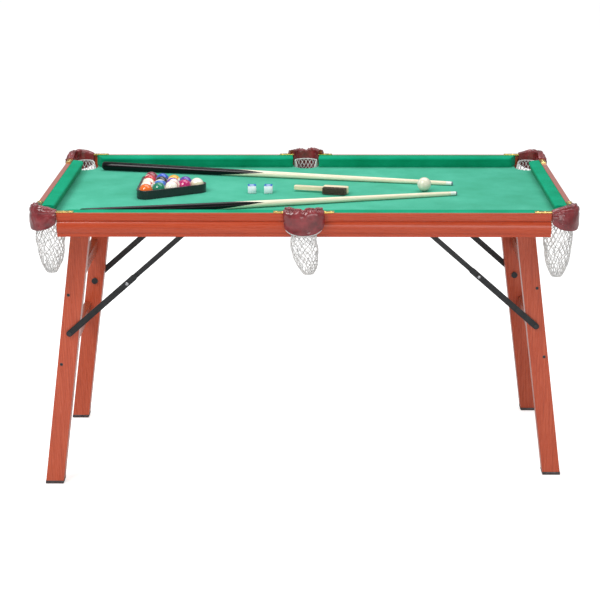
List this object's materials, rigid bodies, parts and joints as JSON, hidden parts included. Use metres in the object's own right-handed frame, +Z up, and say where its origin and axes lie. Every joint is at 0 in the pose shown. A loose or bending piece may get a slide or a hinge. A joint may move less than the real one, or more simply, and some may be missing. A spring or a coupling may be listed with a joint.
{
  "type": "mini pool table",
  "caption": "Small folding pool table with a green cloth bed, leather and net pockets, folding leg frames with locking braces, cues, racked balls, chalk and a brush.",
  "frame": {"origin": "on the floor under the middle of the table", "axes": "+X along the table's length, -Y towards its front, +Z up"},
  "size_m": [1.398, 0.7986, 0.789],
  "materials": {
    "green_cloth": "napped billiard cloth, matt",
    "apron_wood": "cherry-red wood-grain foil, satin",
    "leg_wood": "cherry-red wood-grain foil, satin",
    "bare_board": "raw fibreboard, matt",
    "pocket_leather": "maroon imitation leather, glossy and creased",
    "net_cord": "white knotted cotton cord",
    "brass": "bright stamped brass",
    "black_steel": "black powder coat, satin",
    "black_plastic": "moulded black plastic",
    "ball_resin": "polished solid and striped resin",
    "cue_ball_resin": "polished cream resin",
    "maple": "lacquered maple shaft, black butt",
    "chalk_block": "pressed blue chalk in white paper",
    "brush_wood": "clear-lacquered wood with dark bristles"
  },
  "bodies": {
    "table": {"playfield_board": "bare_board", "bed_cloth": "green_cloth", "cushion_front_left": "green_cloth", "cushion_front_right": "green_cloth", "cushion_back_left": "green_cloth", "cushion_back_right": "green_cloth", "cushion_left": "green_cloth", "cushion_right": "green_cloth", "apron_front": "apron_wood", "apron_back": "apron_wood", "apron_left": "apron_wood", "apron_right": "apron_wood", "pocket_iron_front_left": "brass", "pocket_iron_front_middle": "brass", "pocket_iron_front_right": "brass", "pocket_iron_back_left": "brass", "pocket_iron_back_middle": "brass", "pocket_iron_back_right": "brass", "pocket_leather_front_left": "pocket_leather", "pocket_leather_front_middle": "pocket_leather", "pocket_leather_front_right": "pocket_leather", "pocket_leather_back_left": "pocket_leather", "pocket_leather_back_middle": "pocket_leather", "pocket_leather_back_right": "pocket_leather", "pocket_net_front_left": "net_cord", "pocket_net_front_middle": "net_cord", "pocket_net_front_right": "net_cord", "pocket_net_back_left": "net_cord", "pocket_net_back_middle": "net_cord", "pocket_net_back_right": "net_cord", "pivot_beam_left": "leg_wood", "pivot_beam_right": "leg_wood", "brace_bracket_front_left": "black_steel", "brace_bracket_back_left": "black_steel", "brace_bracket_front_right": "black_steel", "brace_bracket_back_right": "black_steel"},
    "leg_frame_left": {"leg_front_left": "leg_wood", "leg_back_left": "leg_wood", "stretcher_upper_left": "leg_wood", "stretcher_lower_left": "leg_wood"},
    "brace_lower_front_left": {"brace_lower_front_left": "black_steel"},
    "brace_upper_front_left": {"brace_upper_front_left": "black_steel"},
    "brace_lower_back_left": {"brace_lower_back_left": "black_steel"},
    "brace_upper_back_left": {"brace_upper_back_left": "black_steel"},
    "leg_frame_right": {"leg_front_right": "leg_wood", "leg_back_right": "leg_wood", "stretcher_upper_right": "leg_wood", "stretcher_lower_right": "leg_wood"},
    "brace_lower_front_right": {"brace_lower_front_right": "black_steel"},
    "brace_upper_front_right": {"brace_upper_front_right": "black_steel"},
    "brace_lower_back_right": {"brace_lower_back_right": "black_steel"},
    "brace_upper_back_right": {"brace_upper_back_right": "black_steel"},
    "cue_far": {"cue_far": "maple"},
    "cue_near": {"cue_near": "maple"},
    "rack_triangle": {"rack_triangle": "black_plastic"},
    "racked_balls": {"racked_balls": "ball_resin"},
    "cue_ball": {"cue_ball": "cue_ball_resin"},
    "chalk_left": {"chalk_left": "chalk_block"},
    "chalk_right": {"chalk_right": "chalk_block"},
    "brush": {"brush": "brush_wood"}
  },
  "joints": [
    {"name": "leg_fold_left", "type": "hinge", "parent": "table", "child": "leg_frame_left", "pos_m": [-0.579, 0, 0.695], "axis": [0, -1, 0], "range_deg": [0, 97.86]},
    {"name": "brace_lower_front_left_turn", "type": "hinge", "parent": "leg_frame_left", "child": "brace_lower_front_left", "pos_m": [-0.61601, -0.286, 0.42704], "axis": [0, -1, 0], "range_deg": [0, 43.06]},
    {"name": "brace_upper_front_left_turn", "type": "hinge", "parent": "table", "child": "brace_upper_front_left", "pos_m": [-0.29, -0.286, 0.715], "axis": [0, -1, 0], "range_deg": [-35.18, 0]},
    {"name": "brace_lower_back_left_turn", "type": "hinge", "parent": "leg_frame_left", "child": "brace_lower_back_left", "pos_m": [-0.61601, 0.254, 0.42704], "axis": [0, -1, 0], "range_deg": [0, 43.06]},
    {"name": "brace_upper_back_left_turn", "type": "hinge", "parent": "table", "child": "brace_upper_back_left", "pos_m": [-0.29, 0.254, 0.715], "axis": [0, -1, 0], "range_deg": [-35.18, 0]},
    {"name": "leg_fold_right", "type": "hinge", "parent": "table", "child": "leg_frame_right", "pos_m": [0.579, 0, 0.695], "axis": [0, 1, 0], "range_deg": [0, 97.86]},
    {"name": "brace_lower_front_right_turn", "type": "hinge", "parent": "leg_frame_right", "child": "brace_lower_front_right", "pos_m": [0.61601, -0.216, 0.42704], "axis": [0, 1, 0], "range_deg": [0, 43.06]},
    {"name": "brace_upper_front_right_turn", "type": "hinge", "parent": "table", "child": "brace_upper_front_right", "pos_m": [0.29, -0.216, 0.715], "axis": [0, 1, 0], "range_deg": [-35.18, 0]},
    {"name": "brace_lower_back_right_turn", "type": "hinge", "parent": "leg_frame_right", "child": "brace_lower_back_right", "pos_m": [0.61601, 0.324, 0.42704], "axis": [0, 1, 0], "range_deg": [0, 43.06]},
    {"name": "brace_upper_back_right_turn", "type": "hinge", "parent": "table", "child": "brace_upper_back_right", "pos_m": [0.29, 0.324, 0.715], "axis": [0, 1, 0], "range_deg": [-35.18, 0]},
    {"name": "cue_far_lift", "type": "slide", "parent": "table", "child": "cue_far", "axis": [0, 0, 1], "range_m": [0, 0.1]},
    {"name": "cue_near_lift", "type": "slide", "parent": "table", "child": "cue_near", "axis": [0, 0, 1], "range_m": [0, 0.1]},
    {"name": "rack_triangle_lift", "type": "slide", "parent": "table", "child": "rack_triangle", "axis": [0, 0, 1], "range_m": [0, 0.1]},
    {"name": "racked_balls_lift", "type": "slide", "parent": "table", "child": "racked_balls", "axis": [0, 0, 1], "range_m": [0, 0.06]},
    {"name": "cue_ball_lift", "type": "slide", "parent": "table", "child": "cue_ball", "axis": [0, 0, 1], "range_m": [0, 0.1]},
    {"name": "chalk_left_lift", "type": "slide", "parent": "table", "child": "chalk_left", "axis": [0, 0, 1], "range_m": [0, 0.1]},
    {"name": "chalk_right_lift", "type": "slide", "parent": "table", "child": "chalk_right", "axis": [0, 0, 1], "range_m": [0, 0.1]},
    {"name": "brush_lift", "type": "slide", "parent": "table", "child": "brush", "axis": [0, 0, 1], "range_m": [0, 0.1]}
  ],
  "couplings": [
    {"joint": "brace_lower_front_left_turn", "follows": "leg_fold_left", "ratio": 0.43495},
    {"joint": "brace_upper_front_left_turn", "follows": "leg_fold_left", "ratio": -0.35439},
    {"joint": "brace_lower_back_left_turn", "follows": "leg_fold_left", "ratio": 0.43495},
    {"joint": "brace_upper_back_left_turn", "follows": "leg_fold_left", "ratio": -0.35439},
    {"joint": "brace_lower_front_right_turn", "follows": "leg_fold_right", "ratio": 0.43495},
    {"joint": "brace_upper_front_right_turn", "follows": "leg_fold_right", "ratio": -0.35439},
    {"joint": "brace_lower_back_right_turn", "follows": "leg_fold_right", "ratio": 0.43495},
    {"joint": "brace_upper_back_right_turn", "follows": "leg_fold_right", "ratio": -0.35439}
  ]
}
